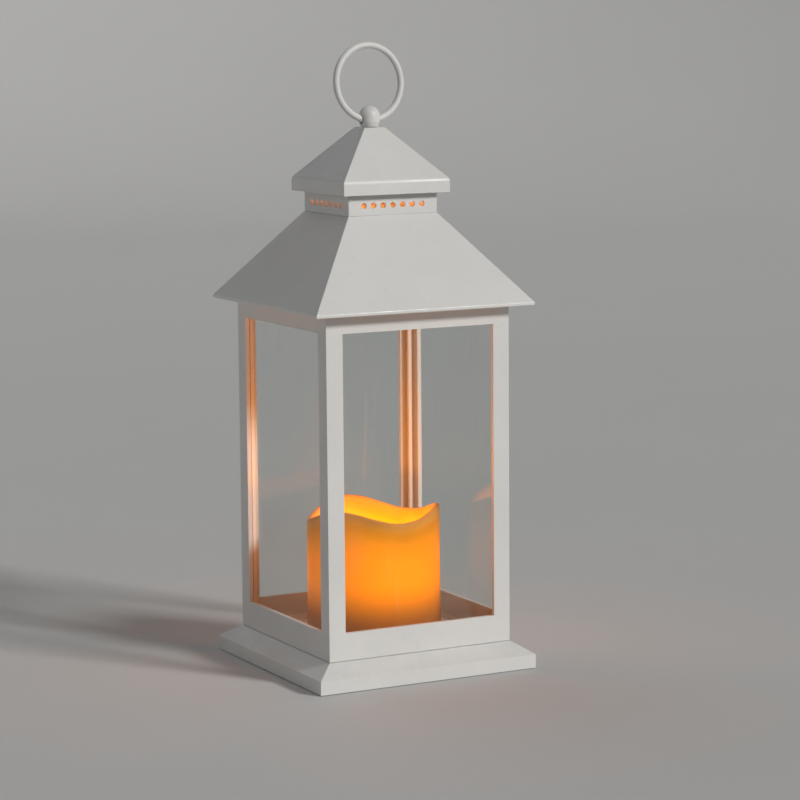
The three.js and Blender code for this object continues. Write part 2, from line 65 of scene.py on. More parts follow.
class Shader:
    """A material under construction. Each method adds a node and returns its output socket."""

    def __init__(self, name):
        self.material = bpy.data.materials.new(name)
        self.material.use_nodes = True
        self.tree = self.material.node_tree
        self.tree.nodes.clear()
        self.output = self.tree.nodes.new("ShaderNodeOutputMaterial")
        self.place = self.node("TexCoord").outputs["Object"]

    def node(self, kind, inputs=None, **settings):
        made = self.tree.nodes.new("ShaderNode" + kind)
        for key, value in settings.items():
            setattr(made, key, value)
        for key, value in (inputs or {}).items():
            if isinstance(value, bpy.types.NodeSocket):
                self.tree.links.new(value, made.inputs[key])
            else:
                made.inputs[key].default_value = value
        return made

    def noise(self, scale, detail=2.0, rough=0.5, stretch=(1, 1, 1)):
        """Cloudy values about 0.5. scale is in features per metre."""
        mapped = self.node("Mapping", {"Vector": self.place, "Scale": stretch}).outputs[0]
        made = self.node("TexNoise", {"Vector": mapped, "Scale": scale, "Detail": detail,
                                      "Roughness": rough})
        return made.outputs["Fac"]

    def band(self, value, low, high, out=(0.0, 1.0), smooth=True):
        """Goes from out[0] at low to out[1] at high, easing in and out if smooth."""
        made = self.node("MapRange", {"Value": value, "From Min": low, "From Max": high,
                                      "To Min": out[0], "To Max": out[1]},
                         interpolation_type="SMOOTHSTEP" if smooth else "LINEAR")
        return made.outputs["Result"]

    def math(self, operation, a, b=0.0):
        return self.node("Math", {0: a, 1: b}, operation=operation).outputs[0]

    def mix(self, share, a, b):
        """Colour a where share is 0 and colour b where it is 1."""
        made = self.node("Mix", data_type="RGBA")
        for key, value in (("Factor_Float", share), ("A_Color", a), ("B_Color", b)):
            socket = next(x for x in made.inputs if x.identifier == key)
            if isinstance(value, bpy.types.NodeSocket):
                self.tree.links.new(value, socket)
            else:
                socket.default_value = (*value, 1.0) if isinstance(value, tuple) else value
        return next(x for x in made.outputs if x.identifier == "Result_Color")

    def ramp(self, value, stops):
        """A colour ramp with stops of (position, colour)."""
        made = self.node("ValToRGB", {"Fac": value})
        elements = made.color_ramp.elements
        elements[0].position, elements[-1].position = stops[0][0], stops[-1][0]
        for position, _ in stops[1:-1]:
            elements.new(position)
        for element, (_, colour) in zip(elements, stops):
            element.color = (*colour, 1.0)
        return made.outputs["Color"]

    def axis(self, name):
        """One coordinate in the frame shared with the CAD, in metres."""
        return self.node("SeparateXYZ", {0: self.place}).outputs[name]

    def facing_up(self):
        normal = self.node("NewGeometry").outputs["Normal"]
        return self.node("SeparateXYZ", {0: normal}).outputs["Z"]

    def bump(self, height, depth_mm, normal=None):
        inputs = {"Height": height, "Distance": depth_mm * MM, "Strength": 1.0}
        if normal is not None:
            inputs["Normal"] = normal
        return self.node("Bump", inputs).outputs["Normal"]

    def finish(self, shader):
        self.tree.links.new(shader, self.output.inputs["Surface"])
        return self.material

    def principled(self, **inputs):
        named = {key.replace("_", " "): value for key, value in inputs.items()}
        for key, value in named.items():
            if isinstance(value, tuple) and len(value) == 3 and "Color" in key:
                named[key] = (*value, 1.0)
        return self.finish(self.node("BsdfPrincipled", named).outputs[0])


def tinted(colour, factor):
    return tuple(channel * factor for channel in colour)


def moulded_plastic(name, colour, rough=0.42, worn=0.0, translucent=0.0, dust=0.12):
    """Injection-moulded plastic: an orange-peel skin, faint sink marks, specks, scuffs and settled dust.
    worn lightens and smooths it, as on a rubbed edge."""
    s = Shader(name)
    broad = s.band(s.noise(16, 3.0), 0.35, 0.65)
    cloudy = s.band(s.noise(70, 4.0, 0.6), 0.38, 0.62)
    base = s.mix(broad, tinted(colour, 0.95), colour)
    base = s.mix(s.math("MULTIPLY", cloudy, 0.5), base, tinted(colour, 0.97))
    scuffs = s.band(s.noise(240, 5.0, 0.65, (1.0, 1.0, 0.16)), 0.63, 0.72)
    base = s.mix(s.math("MULTIPLY", scuffs, 0.22), base, tinted(colour, 0.74))
    specks = s.band(s.noise(820, 1.0), 0.775, 0.80)
    base = s.mix(s.math("MULTIPLY", specks, 0.55), base, tinted(colour, 0.42))
    settled = s.math("MULTIPLY", s.band(s.facing_up(), 0.55, 0.95), s.band(s.noise(55, 5.0, 0.7), 0.4, 0.7))
    base = s.mix(s.math("MULTIPLY", settled, dust), base, (0.42, 0.39, 0.35))
    rubbed = s.math("MULTIPLY", s.band(s.noise(130, 4.0, 0.6), 0.42, 0.6), worn)
    base = s.mix(rubbed, base, tinted(colour, 1.1))
    gloss = s.band(s.noise(38, 4.0, 0.6), 0.3, 0.7, (rough - 0.07, rough + 0.09))
    gloss = s.math("SUBTRACT", gloss, s.math("MULTIPLY", rubbed, 0.14))
    gloss = s.math("ADD", gloss, s.math("MULTIPLY", settled, 0.2))
    sink = s.bump(s.noise(22, 1.0), 0.35)
    peel = s.bump(s.noise(1100, 2.0), 0.012, sink)
    marks = s.bump(s.math("SUBTRACT", 1.0, scuffs), 0.015, peel)
    return s.principled(
        Base_Color=base, Roughness=gloss, Normal=marks, IOR=1.5,
        Subsurface_Weight=translucent, Subsurface_Radius=(1.0, 0.55, 0.28), Subsurface_Scale=0.003,
    )


def clear_pane(name):
    """Clear sheet: it shows what is behind it, mirrors a little, and holds dust, wipes and fine scratches."""
    s = Shader(name)
    ripple = s.bump(s.noise(26, 1.0), 0.05)
    smears = s.band(s.noise(28, 5.0, 0.62, (1.0, 1.0, 0.35)), 0.5, 0.78)
    specks = s.band(s.noise(900, 1.0), 0.745, 0.78)
    scratches = s.band(s.noise(420, 2.0, 0.5, (1.0, 1.0, 0.03)), 0.70, 0.74)
    low = s.band(s.axis("Z"), 0.055, 0.02)
    film = s.math("ADD", s.math("MULTIPLY", smears, 0.022), s.math("MULTIPLY", specks, 0.22))
    film = s.math("ADD", film, s.math("MULTIPLY", scratches, 0.06))
    film = s.math("ADD", film, s.math("MULTIPLY", low, 0.015))
    film = s.math("ADD", film, 0.004)
    rough = s.band(smears, 0.0, 1.0, (0.015, 0.09))
    mirror = s.node("BsdfGlossy", {"Color": (1, 1, 1, 1), "Roughness": rough, "Normal": ripple}).outputs[0]
    through = s.node("BsdfTransparent", {"Color": (0.955, 0.965, 0.96, 1)}).outputs[0]
    glancing = s.node("LayerWeight", {"Blend": 0.5, "Normal": ripple}).outputs["Facing"]
    shine = s.band(s.math("POWER", glancing, 5.0), 0.0, 1.0, (0.014, 1.0), smooth=False)
    sheet = s.node("MixShader", {0: shine, 1: through, 2: mirror}).outputs[0]
    dust = s.node("BsdfDiffuse", {"Color": (0.72, 0.70, 0.66, 1)}).outputs[0]
    return s.finish(s.node("MixShader", {0: film, 1: sheet, 2: dust}).outputs[0])


def lit_wax(name):
    """Wax lit from inside. The glow follows how far a point lies below the rim, which the candle's mesh
    holds in millimetres. It is yellower in the hollow. Outside, it fades towards the base and the sides."""
    s = Shader(name)
    below = s.node("Attribute", attribute_name="below_rim").outputs["Fac"]
    inside = s.node("Attribute", attribute_name="inside").outputs["Fac"]
    cloud = s.noise(34, 3.0)
    wander = s.math("ADD", below, s.math("MULTIPLY", s.math("SUBTRACT", cloud, 0.5), 9.0))
    outer_reach, inner_reach, half_depth = 75.0, 30.0, 0.0385
    outer = s.ramp(s.math("DIVIDE", wander, outer_reach), [
        (0.0, (0.17, 0.044, 0.0)), (0.06, (0.38, 0.122, 0.0)), (0.17, (0.64, 0.187, 0.0)),
        (0.33, (0.98, 0.226, 0.0)), (0.6, (0.98, 0.230, 0.0)), (1.0, (0.9, 0.207, 0.0)),
    ])
    inner = s.ramp(s.math("DIVIDE", wander, inner_reach), [
        (0.0, (0.16, 0.035, 0.0)), (0.12, (0.48, 0.13, 0.0)), (0.3, (0.75, 0.36, 0.0)),
        (0.5, (0.85, 0.48, 0.0)), (1.0, (0.85, 0.52, 0.0)),
    ])
    to_front = s.math("POWER", s.math("DIVIDE", s.axis("Y"), half_depth), 2.0)
    lit = s.math("MULTIPLY", s.band(to_front, 0.0, 1.0, (0.5, 1.0), smooth=False),
                 s.band(s.axis("Z"), 0.025, 0.054, (0.12, 1.0)))
    outer = s.mix(lit, (0.0, 0.0, 0.0), outer)
    glow = s.mix(inside, outer, inner)
    frost = s.band(s.noise(150, 5.0, 0.6), 0.35, 0.68)
    rim = s.band(below, 9.0, 0.0)
    wax = s.mix(s.math("MULTIPLY", rim, 0.9), (0.26, 0.075, 0.001), (0.50, 0.28, 0.09))
    wax = s.mix(s.math("MULTIPLY", frost, 0.1), wax, (0.42, 0.2, 0.03))
    pores = s.band(s.noise(620, 2.0), 0.70, 0.76)
    wax = s.mix(s.math("MULTIPLY", pores, 0.3), wax, (0.20, 0.07, 0.01))
    rough = s.band(s.noise(60, 4.0, 0.6), 0.3, 0.7, (0.38, 0.56))
    dents = s.bump(s.noise(48, 2.0), 0.3)
    skin = s.bump(s.noise(520, 3.0, 0.6), 0.03, dents)
    return s.principled(
        Base_Color=wax, Roughness=rough, Normal=skin, IOR=1.42, Specular_IOR_Level=0.12,
        Subsurface_Weight=0.15, Subsurface_Radius=(1.0, 0.45, 0.12), Subsurface_Scale=0.004,
        Emission_Color=glow, Emission_Strength=1.5,
    )


def lamp_lens(name):
    """The lamp's tinted lens, brightest in its dome."""
    s = Shader(name)
    height = s.band(s.axis("Z"), 0.057, 0.066)
    glow = s.mix(height, (1.0, 0.38, 0.02), (1.0, 0.86, 0.42))
    rough = s.band(s.noise(500, 2.0), 0.3, 0.7, (0.04, 0.12))
    ripple = s.bump(s.noise(300, 1.0), 0.02)
    return s.principled(Base_Color=s.mix(s.noise(400), (0.95, 0.55, 0.12), (1.0, 0.72, 0.26)),
                        Roughness=rough, Normal=ripple, Emission_Color=glow, Emission_Strength=4.0)


def plated_steel(name, colour=(0.62, 0.63, 0.65)):
    """Zinc-plated steel with turning marks, dulled patches and a few dark spots."""
    s = Shader(name)
    patches = s.band(s.noise(190, 4.0, 0.6), 0.35, 0.68)
    base = s.mix(patches, tinted(colour, 0.8), colour)
    spots = s.band(s.noise(1400, 2.0), 0.68, 0.74)
    base = s.mix(s.math("MULTIPLY", spots, 0.6), base, (0.18, 0.14, 0.10))
    rough = s.band(s.noise(420, 4.0, 0.65), 0.3, 0.7, (0.22, 0.46))
    lines = s.bump(s.noise(2600, 2.0, 0.5, (1.0, 1.0, 6.0)), 0.006)
    return s.principled(Base_Color=base, Roughness=rough, Normal=lines, Metallic=1.0)


def foot_rubber(name):
    """Matt rubber with a grainy skin and pale dust."""
    s = Shader(name)
    dusty = s.band(s.noise(210, 5.0, 0.7), 0.5, 0.75)
    base = s.mix(s.math("MULTIPLY", dusty, 0.35), (0.085, 0.083, 0.08), (0.24, 0.22, 0.20))
    base = s.mix(s.band(s.noise(36), 0.3, 0.7), base, (0.10, 0.098, 0.095))
    rough = s.band(s.noise(160, 3.0), 0.3, 0.7, (0.72, 0.9))
    grain = s.bump(s.noise(1900, 3.0, 0.7), 0.04)
    return s.principled(Base_Color=base, Roughness=rough, Normal=grain)


def shrink_sleeve(name):
    """The plain printed film round a cell: a dark band, a light one, and a wrinkle here and there."""
    s = Shader(name)
    along = s.math("ADD", s.axis("X"), s.math("MULTIPLY", s.noise(40), 0.0006))
    split = s.band(along, 0.0085, 0.0088)
    base = s.mix(split, (0.035, 0.085, 0.055), (0.62, 0.63, 0.60))
    scuffs = s.band(s.noise(380, 4.0, 0.65, (0.3, 1.0, 1.0)), 0.6, 0.72)
    base = s.mix(s.math("MULTIPLY", scuffs, 0.3), base, (0.42, 0.42, 0.40))
    rough = s.band(s.noise(90, 3.0), 0.3, 0.7, (0.22, 0.36))
    wrinkles = s.bump(s.noise(160, 2.0, 0.5, (0.25, 1.0, 1.0)), 0.05)
    return s.principled(
        Base_Color=base, Roughness=rough, Normal=wrinkles, Coat_Weight=0.4, Coat_Roughness=0.12,
    )


def lacquered_board(name):
    """Green lacquer over copper tracks on a 2.5 mm grid."""
    s = Shader(name)
    tracks = s.math("SINE", s.math("MULTIPLY", s.axis("X"), 2 * math.pi / 0.0025))
    runs = s.band(s.noise(260, 1.0, 0.5, (0.2, 1.0, 1.0)), 0.48, 0.52)
    copper = s.math("MULTIPLY", s.band(tracks, 0.55, 0.75), runs)
    base = s.mix(copper, (0.012, 0.10, 0.035), (0.05, 0.24, 0.07))
    base = s.mix(s.math("MULTIPLY", s.band(s.noise(500, 4.0), 0.55, 0.75), 0.3), base, (0.10, 0.18, 0.10))
    rough = s.band(s.noise(150, 3.0), 0.3, 0.7, (0.22, 0.38))
    raised = s.bump(copper, 0.04)
    weave = s.bump(s.noise(2200, 1.0), 0.008, raised)
    return s.principled(Base_Color=base, Roughness=rough, Normal=weave)


WHITE = (0.79, 0.785, 0.765)
DARK = (0.028, 0.028, 0.031)

white = moulded_plastic("white_plastic", WHITE, translucent=0.06)
white_edge = moulded_plastic("white_plastic_rubbed_edge", WHITE, worn=0.8, translucent=0.06)
dark = moulded_plastic("dark_plastic", DARK, rough=0.52, dust=0.1)
dark_edge = moulded_plastic("dark_plastic_rubbed_edge", tinted(DARK, 2.2), rough=0.4, worn=0.8)
pane = clear_pane("clear_pane")
wax = lit_wax("lit_wax")
lens = lamp_lens("lamp_lens")
steel = plated_steel("plated_steel")
solder = plated_steel("solder", (0.72, 0.73, 0.74))
rubber = foot_rubber("foot_rubber")
sleeve = shrink_sleeve("cell_sleeve")
board = lacquered_board("lacquered_board")


# ---- Shape building ------------------------------------------------------------------------------


def arc(x, y, radius, start, end, steps):
    """Points along an arc from start to end degrees, both ends included."""
    turns = [math.radians(start + (end - start) * i / steps) for i in range(steps + 1)]
    return [(x + radius * math.cos(a), y + radius * math.sin(a)) for a in turns]


def spin(outline, sides, shift=None, material=0):
    """A closed body: an outline of (radius, height) turned about the upright axis. An outline off the
    axis closes on itself. shift(angle, radius, height, row) may move a point to another (radius, height)."""
    bm = bmesh.new()
    rings = []
    for row, (radius, height) in enumerate(outline):
        ring = []
        for i in range(1 if radius < 1e-6 else sides):
            angle = 2 * math.pi * i / sides
            r, z = shift(angle, radius, height, row) if shift else (radius, height)
            ring.append(bm.verts.new(Vector((r * math.cos(angle), r * math.sin(angle), z)) * MM))
        rings.append(ring)
    joined = list(zip(rings, rings[1:]))
    if outline[0][0] > 1e-6:
        joined.append((rings[-1], rings[0]))
    for low, high in joined:
        for i in range(sides):
            j = (i + 1) % sides
            corners = [low[i % len(low)], low[j % len(low)], high[j % len(high)], high[i % len(high)]]
            corners = list(dict.fromkeys(corners))
            if len(corners) > 2:
                bm.faces.new(corners).material_index = material
    return bm


def sweep(points, section, sideways):
    """A closed tube along points in mm. section holds the corners of its cross-section as (across, out)
    offsets, where out is square to both the path and sideways."""
    bm = bmesh.new()
    rings = []
    for i, point in enumerate(points):
        along = (points[min(i + 1, len(points) - 1)] - points[max(i - 1, 0)]).normalized()
        out = along.cross(sideways).normalized()
        across = out.cross(along).normalized()
        rings.append([bm.verts.new((point + across * a + out * b) * MM) for a, b in section])
    for low, high in zip(rings, rings[1:]):
        for k in range(len(low)):
            n = (k + 1) % len(low)
            bm.faces.new([low[k], low[n], high[n], high[k]])
    bm.faces.new(list(reversed(rings[0])))
    bm.faces.new(rings[-1])
    bmesh.ops.recalc_face_normals(bm, faces=bm.faces)
    return bm


def slab(bm, low, high, round_off=0.2, material=0):
    """Adds a block with rounded edges between two corners, in mm."""
    size = Vector(high) - Vector(low)
    middle = (Vector(high) + Vector(low)) / 2
    matrix = Matrix.Translation(middle * MM) @ Matrix.Diagonal((*(size * MM), 1.0))
    made = bmesh.ops.create_cube(bm, size=1.0, matrix=matrix)
    edges = list({edge for vert in made["verts"] for edge in vert.link_edges})
    faces = {face for vert in made["verts"] for face in vert.link_faces}
    if round_off:
        bevel = bmesh.ops.bevel(bm, geom=edges, offset=round_off * MM, segments=2, affect="EDGES",
                                profile=0.5, clamp_overlap=True)
        faces |= set(bevel["faces"])
    for face in faces:
        if face.is_valid:
            face.material_index = material
    return bm


def merged(*parts):
    """One bmesh out of several, each given with the matrix that moves it. The several are used up."""
    whole = bmesh.new()
    for bm, matrix in parts:
        mesh = bpy.data.meshes.new("part")
        bm.transform(matrix)
        bm.to_mesh(mesh)
        bm.free()
        whole.from_mesh(mesh)
        bpy.data.meshes.remove(mesh)
    return whole


def moved(bm, matrix):
    bm.transform(matrix)
    return bm


def at(x=0.0, y=0.0, z=0.0):
    return Matrix.Translation(Vector((x, y, z)) * MM)


def new_object(name, bm, materials, sharp=30):
    mesh = bpy.data.meshes.new(name)
    bm.normal_update()
    bm.to_mesh(mesh)
    bm.free()
    for material in materials:
        mesh.materials.append(material)
    mesh.polygons.foreach_set("use_smooth", [True] * len(mesh.polygons))
    mesh.set_sharp_from_angle(angle=math.radians(sharp))
    made = bpy.data.objects.new(name, mesh)
    bpy.context.scene.collection.objects.link(made)
    return made


def stands_for(piece, slot, *names, body=HOUSING):
    """The piece rides on a body and stands for CAD nodes. slot is not used."""
    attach(piece, body)
    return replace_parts(piece, *names)


def carve(piece, cutters):
    """Cuts each bmesh out of the piece for good."""
    for cutter in cutters:
        tool = new_object("cutter", cutter, [])
        cut = piece.modifiers.new("cut", "BOOLEAN")
        cut.object, cut.operation, cut.solver = tool, "DIFFERENCE", "EXACT"
        result = bpy.data.meshes.new_from_object(
            piece.evaluated_get(bpy.context.evaluated_depsgraph_get()))
        piece.modifiers.clear()
        piece.data = result
        bpy.data.objects.remove(tool)
    piece.data.set_sharp_from_angle(angle=math.radians(30))
    return piece


def soften(piece, width, segments=3, join_flats=True, angle=28):
    """Rounds a piece's edges. The rounded strips take the piece's second material, the rubbed edge."""
    weld = piece.modifiers.new("weld", "WELD")
    weld.merge_threshold = 1e-6
    if join_flats:
        flat = piece.modifiers.new("one_face_per_flat", "DECIMATE")
        flat.decimate_type, flat.angle_limit = "DISSOLVE", math.radians(0.25)
    bevel = piece.modifiers.new("round_edges", "BEVEL")
    bevel.width, bevel.segments, bevel.limit_method = width * MM, segments, "ANGLE"
    bevel.angle_limit = math.radians(angle)
    bevel.material = 1
    bevel.miter_outer = "MITER_ARC"
    normals = piece.modifiers.new("flat_faces_stay_flat", "WEIGHTED_NORMAL")
    normals.keep_sharp, normals.weight = False, 80


def dress(names, material, edge, width, segments=3, join_flats=True):
    """Gives carried-over CAD nodes their materials and rounds their edges."""
    for name in names:
        piece = nodes[name]
        piece.data.materials.clear()
        piece.data.materials.append(material)
        piece.data.materials.append(edge)
        piece.data.polygons.foreach_set("use_smooth", [True] * len(piece.data.polygons))
        soften(piece, width, segments, join_flats)


def middle_of(name):
    low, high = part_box(name)
    return (low + high) / 2 / MM


# ---- Carried-over frame --------------------------------------------------------------------------

dress(["plinth", "lantern_body", "roof", "cap"], white, white_edge, 0.5)
dress(["led_post"], white, white_edge, 0.25, 2)
dress(["bottom_cover"], white, white_edge, 0.2, 2, join_flats=False)
dress(["battery_box", "switch_body"], dark, dark_edge, 0.25, 2)
dress(["pane_front", "pane_back", "pane_left", "pane_right"], pane, pane, 0.2, 2)
dress(["knob_nut", "contact_plate", "contact_terminal_1", "contact_terminal_2"], steel, steel, 0.1, 2)


# ---- Roof fittings -------------------------------------------------------------------------------

VENT_COUNT, VENT_PITCH, VENT_RADIUS, VENT_HEIGHT = 7, 6.25, 1.7, 271.6


def square_spin(outline):
    """A closed body with a square plan, from an outline of (half width, height)."""
    bm = spin([(half * math.sqrt(2), height) for half, height in outline], 4)
    bmesh.ops.rotate(bm, verts=bm.verts, matrix=Matrix.Rotation(math.pi / 4, 3, "Z"))
    return bm


def drills(turn):
    """A row of drills side by side, along Y turned by turn."""
    reach, sides = 40, 32
    quarter = Matrix.Rotation(turn, 4, "Z") @ Matrix.Rotation(math.pi / 2, 4, "X")
    parts = []
    for i in range(VENT_COUNT):
        along = (i - (VENT_COUNT - 1) / 2) * VENT_PITCH
        rod = spin([(0, -reach), (VENT_RADIUS, -reach), (VENT_RADIUS, reach), (0, reach)], sides)
        place = at(along * math.cos(turn), along * math.sin(turn), VENT_HEIGHT)
        parts.append((rod, place @ quarter))
    return merged(*parts)


def make_vent_collar():
    low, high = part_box("vent_collar")
    half, top, spigot_bottom = high.x / MM, high.z / MM, low.z / MM
    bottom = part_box("roof")[1].z / MM + 0.04
    wall, plate, gap = 2.2, 2.0, 0.3
    spigot_wall, ledge = 1.8, 1.8
    spigot_out = half - wall - gap
    spigot_in = spigot_out - spigot_wall
    bm = square_spin([
        (0, top - plate), (half - wall, top - plate), (half - wall, bottom + ledge),
        (spigot_in, bottom + ledge), (spigot_in, spigot_bottom), (spigot_out, spigot_bottom),
        (spigot_out, bottom), (half, bottom), (half, top), (0, top),
    ])
    collar = new_object("vent_collar_drilled", bm, [white, white_edge])
    hole_radius, hole_from, hole_to = 1.6, 260, 290
    screw_holes = []
    for name in ("cap_screw_1", "cap_screw_2"):
        hole = spin([(0, hole_from), (hole_radius, hole_from), (hole_radius, hole_to), (0, hole_to)], 24)
        middle = middle_of(name)
        screw_holes.append(moved(hole, at(middle.x, middle.y)))
    carve(collar, [drills(0), drills(math.pi / 2), *screw_holes])
    soften(collar, 0.22, 2)
    stands_for(collar, "white_plastic", "vent_collar")


KNOB_RADIUS, KNOB_BASE_RADIUS, KNOB_BASE, KNOB_WAIST = 6.1, 5.05, 315.3, 318.2
STUD_RADIUS, BORE_RADIUS = 2.5, 3.0


def make_knob():
    """A domed knob on a narrower base, with a stud below and a cross bore for the ring."""
    low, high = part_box("knob")
    stud, top = low.z / MM, high.z / MM
    pivot = joints["ring_swing"]["pos_m"][2] / MM
    waist_round = 1.6
    outline = [
        (0, stud), (STUD_RADIUS - 0.3, stud), (STUD_RADIUS, stud + 0.4), (STUD_RADIUS, KNOB_BASE),
        (KNOB_BASE_RADIUS - 0.25, KNOB_BASE), (KNOB_BASE_RADIUS, KNOB_BASE + 0.3),
        *arc(KNOB_RADIUS - 0.02 - waist_round, KNOB_WAIST + 0.3, waist_round, -25, 0, 5),
        *arc(0, top - KNOB_RADIUS, KNOB_RADIUS - 0.02, 0, 88, 18), (0, top),
    ]
    knob = new_object("knob_turned", spin(outline, 64), [white, white_edge])
    reach = 9
    bore = spin([(0, -reach), (BORE_RADIUS, -reach), (BORE_RADIUS, reach), (0, reach)], 40)
    carve(knob, [moved(bore, at(0, 0, pivot) @ Matrix.Rotation(math.pi / 2, 4, "Y"))])
    soften(knob, 0.2, 2, angle=40)
    stands_for(knob, "white_plastic", "knob")


RING_RADIUS, RING_WIRE = 21.6, 1.92
RING_LEAN, RING_TILT, RING_TURN = (math.radians(x) for x in (4.0, 1.5, 3.2))


def make_ring():
    """A moulded hoop with a fine parting ridge round its inside and outside, split inside the bore."""
    pivot = joints["ring_swing"]["pos_m"][2] / MM
    bend = RING_RADIUS - math.sqrt(RING_RADIUS**2 - KNOB_RADIUS**2)
    middle = RING_RADIUS - bend / 2
    steps, sides = 128, 24
    half_gap = 0.15 / RING_RADIUS
    points = []
    for i in range(steps):
        angle = -math.pi / 2 + half_gap + (2 * math.pi - 2 * half_gap) * i / (steps - 1)
        points.append(Vector((RING_RADIUS * math.cos(angle), 0, middle + RING_RADIUS * math.sin(angle))))
    section = []
    for k in range(sides):
        turn = 2 * math.pi * k / sides
        ridge = 0.02 if k % (sides // 2) == sides // 4 else 0.0
        section.append(((RING_WIRE + ridge) * math.cos(turn), (RING_WIRE + ridge) * math.sin(turn)))
    hoop = sweep(points, section, Vector((0, 1, 0)))
    askew = (Matrix.Rotation(RING_TURN, 4, "Z") @ Matrix.Rotation(-RING_LEAN, 4, "X")
             @ Matrix.Rotation(RING_TILT, 4, "Y"))
    ring = new_object("hanging_ring", moved(hoop, at(0, 0, pivot) @ askew), [white, white_edge], sharp=60)
    stands_for(ring, "white_plastic", "ring", body="ring")


# ---- Candle --------------------------------------------------------------------------------------

CANDLE_SIDES = 240
RIM, WAVE, WAVES = 89.3, 4.0, 3
LIFT, LIFT_AT = 2.3, math.radians(-100)
SEAM_ANGLES = (math.radians(-100), math.radians(80))


def rim_drop(angle):
    """How far the rim lies below its mean height. It waves, and stands a little higher at the front."""
    return WAVE * math.sin(WAVES * angle) - LIFT * max(0.0, math.cos(angle - LIFT_AT)) ** 2


def make_candle():
    """A hollow pillar with a melted rim. Its mesh holds each point's depth below the rim, in mm, and
    whether it lies inside the cavity."""
    bottom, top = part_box("candle_shell")[0].z / MM, RIM
    base_radius, top_radius, lip, foot = 39.8, 39.3, 2.0, 0.7
    floor, floor_radius, floor_round, hollow, lamp_hole = 56.0, 33.2, 8, 35.0, 3.6
    underside = floor - 3.5
    rows = 26
    wall_from, wall_rise = bottom + foot + 0.1, top - lip - bottom - foot - 0.1
    wall_to_cavity = top_radius - 2 * lip - floor_radius
    cavity_fall = top - lip - floor - floor_round - 1
    shares = [i / rows for i in range(1, rows)]
    wall = [(base_radius + (top_radius - base_radius) * (1 - (1 - a) ** 2), wall_from + wall_rise * a)
            for a in shares]
    down = [(floor_radius + wall_to_cavity * (1 - a), top - lip - cavity_fall * a) for a in shares]
    outline = [
        (hollow, bottom), (base_radius - foot, bottom), (base_radius, bottom + foot), *wall,
        *arc(top_radius - lip, top - lip, lip, 0, 180, 12), *down,
        *arc(floor_radius - floor_round, floor + floor_round, floor_round, 0, -90, 8),
        (12, floor - 0.2), (lamp_hole + 0.4, floor - 0.2), (lamp_hole, floor - 0.6), (lamp_hole, underside),
        (hollow, underside),
    ]
    lip_row = 3 + len(wall) + 6
    fade_from = floor + 4

    def shape(angle, radius, height, row):
        share = min(max((height - fade_from) / (top - lip - fade_from), 0.0), 1.0)
        share = share * share * (3 - 2 * share)
        round_about = Vector((math.cos(angle), math.sin(angle), height / 60.0))
        if 2 <= row < lip_row:
            off_seams = [((angle - a + math.pi) % (2 * math.pi)) - math.pi for a in SEAM_ANGLES]
            seam = 0.1 * max(math.exp(-(off / 0.012) ** 2) for off in off_seams)
            radius += min(0.12 * noise.noise(round_about * 2.2) + seam, 0.0) - 0.1 + seam
        dips = 0.35 * abs(noise.noise(round_about * 3.1 + Vector((7, 0, 0))))
        return radius, height - share * (rim_drop(angle) + dips)

    bm = spin(outline, CANDLE_SIDES, shape)
    below = bm.verts.layers.float.new("below_rim")
    inside = bm.verts.layers.float.new("inside")
    bm.verts.ensure_lookup_table()
    for index, vert in enumerate(bm.verts):
        row, side = divmod(index, CANDLE_SIDES)
        angle = 2 * math.pi * side / CANDLE_SIDES
        vert[below] = top - rim_drop(angle) - vert.co.z / MM
        vert[inside] = 1.0 if row > lip_row else (0.5 if row == lip_row else 0.0)
    candle = new_object("candle_wax", bm, [wax], sharp=50)
    stands_for(candle, "candle_wax", "candle_shell")


def make_lamp():
    """A 5 mm lamp: a flanged lens with a domed top, two legs, and the cup between them."""
    low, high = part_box("led")
    bottom, top = low.z / MM, high.z / MM
    flange, flange_radius, radius = 57.3, 2.9, 2.5
    leg_at, leg = 1.27, 0.25
    lens_outline = [
        (0, flange), (flange_radius, flange), (flange_radius, flange + 1.0), (radius, flange + 1.05),
        *arc(0, top - radius, radius, 0, 88, 12), (0, top),
    ]
    metal = bmesh.new()
    for x in (leg_at, -leg_at):
        slab(metal, (x - leg, -leg, bottom), (x + leg, leg, flange + 0.2), 0.06, 1)
    slab(metal, (-1.7, -0.2, flange - 0.02), (1.7, 0.2, flange + 0.02), 0, 1)
    lamp = new_object("lamp", merged((spin(lens_outline, 48), at()), (metal, at())), [lens, steel])
    stands_for(lamp, "led_lens", "led")


# ---- Electrics -----------------------------------------------------------------------------------


